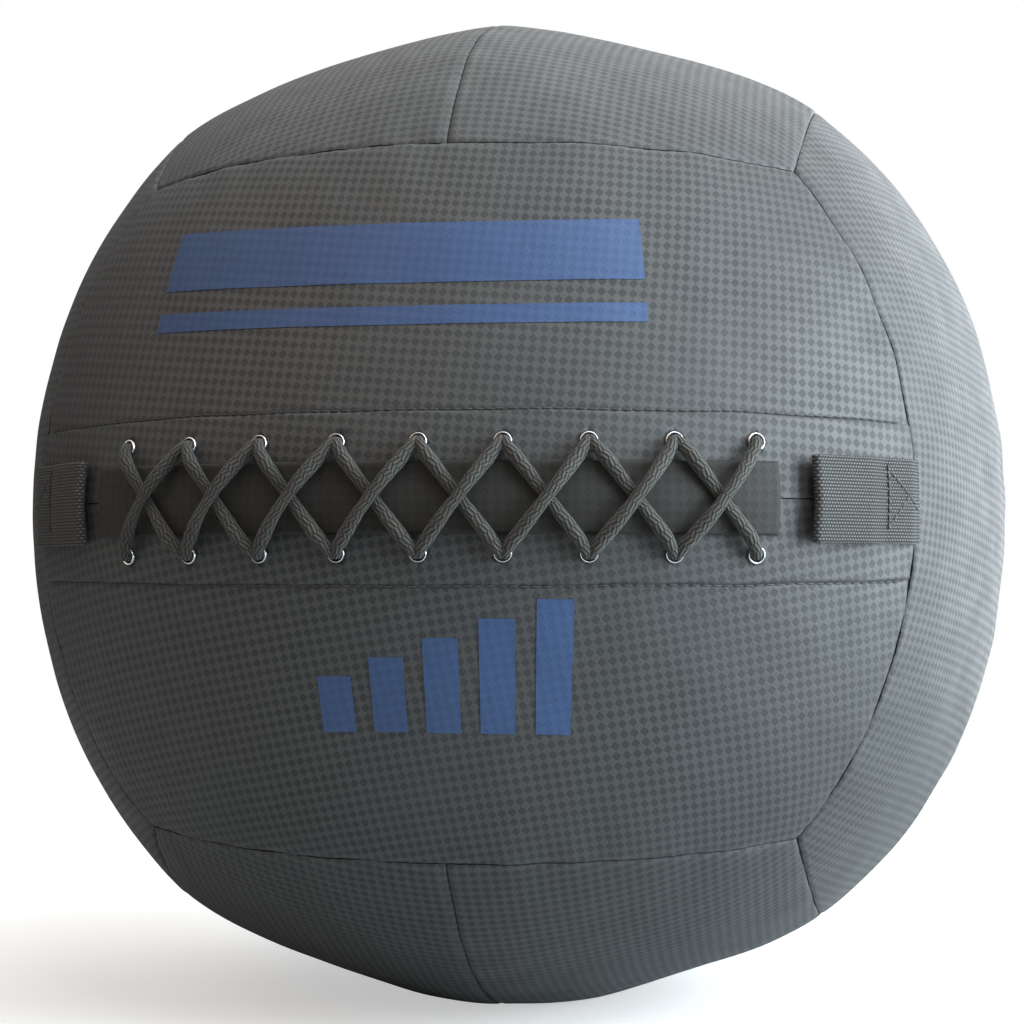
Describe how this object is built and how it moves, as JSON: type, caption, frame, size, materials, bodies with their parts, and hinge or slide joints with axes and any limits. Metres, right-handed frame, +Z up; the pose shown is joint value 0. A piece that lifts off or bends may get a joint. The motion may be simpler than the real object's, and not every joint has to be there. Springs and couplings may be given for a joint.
{
  "type": "wall ball",
  "caption": "Soft weighted throwing ball with a sewn panel cover, laced shut at the front over a strip, with webbing tabs at the slit's ends.",
  "frame": {"origin": "middle of the flat on which the ball rests, on the seam between the two bottom panels, under the ball's centre", "axes": "+Z up through the ball's centre, the laced slit faces -Y, +X to the right as seen from the lacing"},
  "size_m": [0.3418, 0.3512, 0.3396],
  "materials": {
    "cover": "coated synthetic leather with a fine checked emboss, satin",
    "facing": "plain coated strip, satin",
    "webbing": "woven nylon webbing, matt",
    "eyelet": "plated, bright",
    "lace": "round braided cord, matt",
    "fibre": "packed textile fibre",
    "canvas": "plain woven cloth",
    "iron_sand": "fine grains"
  },
  "bodies": {
    "ball": {"front_upper_panel": "cover", "front_lower_panel": "cover", "rear_upper_panel": "cover", "rear_lower_panel": "cover", "top_left_panel": "cover", "top_right_panel": "cover", "bottom_left_panel": "cover", "bottom_right_panel": "cover", "right_front_panel": "cover", "right_rear_panel": "cover", "left_front_panel": "cover", "left_rear_panel": "cover", "upper_facing": "facing", "lower_facing": "facing", "cover_strip": "facing", "inner_flap": "facing", "upper_eyelet_1": "eyelet", "upper_eyelet_2": "eyelet", "upper_eyelet_3": "eyelet", "upper_eyelet_4": "eyelet", "upper_eyelet_5": "eyelet", "upper_eyelet_6": "eyelet", "upper_eyelet_7": "eyelet", "upper_eyelet_8": "eyelet", "upper_eyelet_9": "eyelet", "lower_eyelet_1": "eyelet", "lower_eyelet_2": "eyelet", "lower_eyelet_3": "eyelet", "lower_eyelet_4": "eyelet", "lower_eyelet_5": "eyelet", "lower_eyelet_6": "eyelet", "lower_eyelet_7": "eyelet", "lower_eyelet_8": "eyelet", "lower_eyelet_9": "eyelet", "lace": "lace", "lace_knot": "lace", "right_tab_base": "webbing", "left_tab_base": "webbing", "fibre_fill": "fibre", "weight_bag": "canvas", "iron_sand": "iron_sand", "bag_tie": "lace"},
    "right_tab": {"right_tab_loop": "webbing"},
    "left_tab": {"left_tab_loop": "webbing"}
  },
  "joints": [
    {"name": "right_tab_bend", "type": "hinge", "parent": "ball", "child": "right_tab", "pos_m": [0.13065, -0.12309, 0.16864], "axis": [0, 0, 1], "range_deg": [0, 110], "stiffness_Nm_per_rad": 0.01},
    {"name": "left_tab_bend", "type": "hinge", "parent": "ball", "child": "left_tab", "pos_m": [-0.13065, -0.12309, 0.16864], "axis": [0, 0, -1], "range_deg": [0, 110], "stiffness_Nm_per_rad": 0.01}
  ]
}
